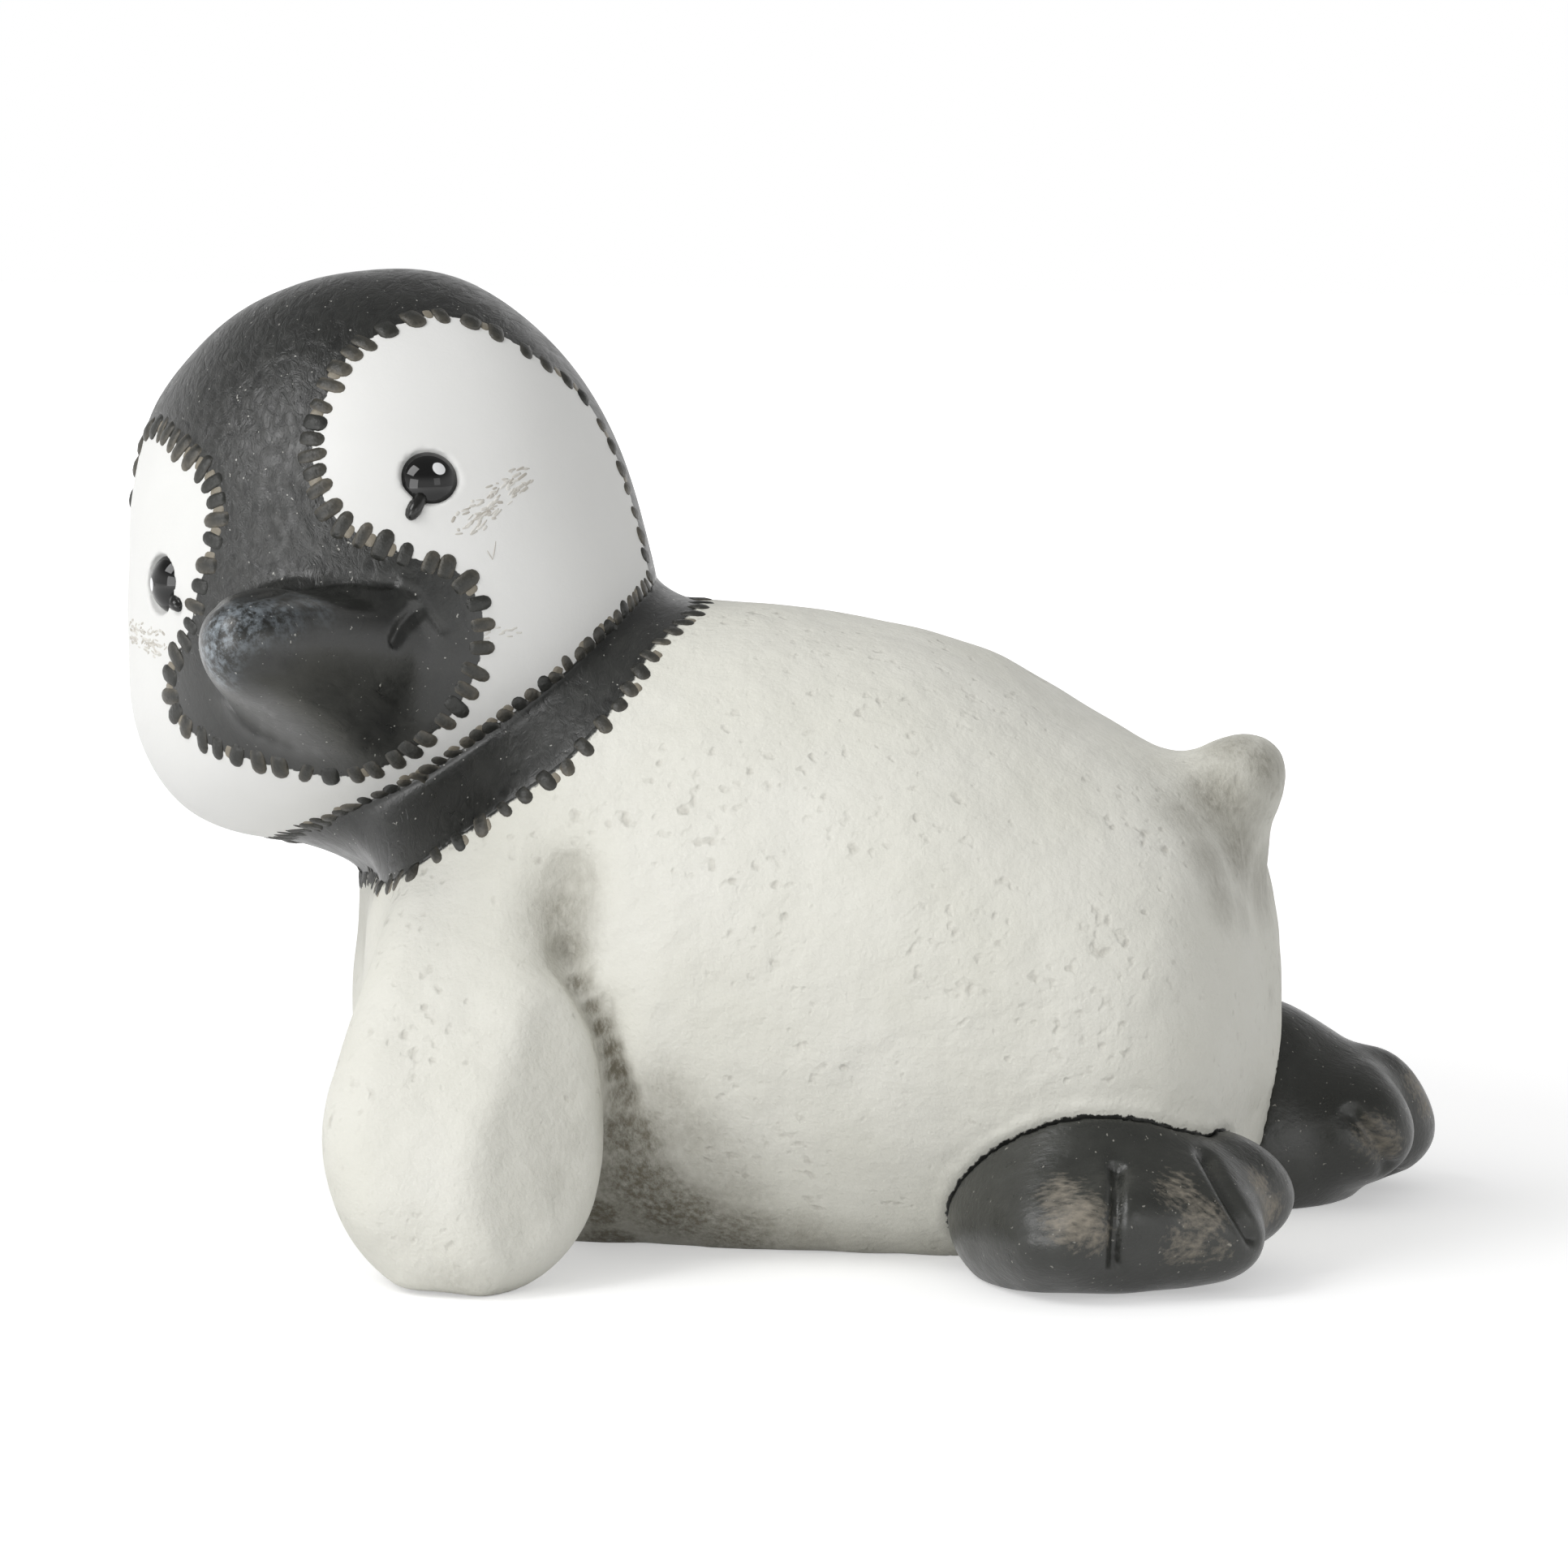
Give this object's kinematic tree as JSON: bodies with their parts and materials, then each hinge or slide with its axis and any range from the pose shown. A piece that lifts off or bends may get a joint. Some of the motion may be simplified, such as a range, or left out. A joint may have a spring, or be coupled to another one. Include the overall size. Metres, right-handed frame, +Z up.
{
  "type": "penguin figurine",
  "caption": "Painted cast figurine of a young penguin lying on its belly, propped on its flippers, head raised and turned to one side; stands free on a shelf.",
  "frame": {"origin": "on the flat belly face that rests on the table, under the middle of the body", "axes": "+Z up, -X toward the head end, +X toward the tail, -Y the penguin's left side, the one the head is turned to"},
  "size_m": [0.2478, 0.1836, 0.1824],
  "materials": {
    "white_casting": "matte",
    "head_casting": "matte",
    "black_casting": "satin",
    "eye_glass": "gloss",
    "plug_rubber": "matte"
  },
  "bodies": {
    "root": {"torso_shell": "white_casting", "head_shell": "head_casting", "beak": "black_casting", "left_eye": "eye_glass", "right_eye": "eye_glass", "left_flipper": "white_casting", "right_flipper": "white_casting", "left_foot": "black_casting", "right_foot": "black_casting", "tail_stub": "white_casting", "base_plug": "plug_rubber"}
  },
  "joints": []
}
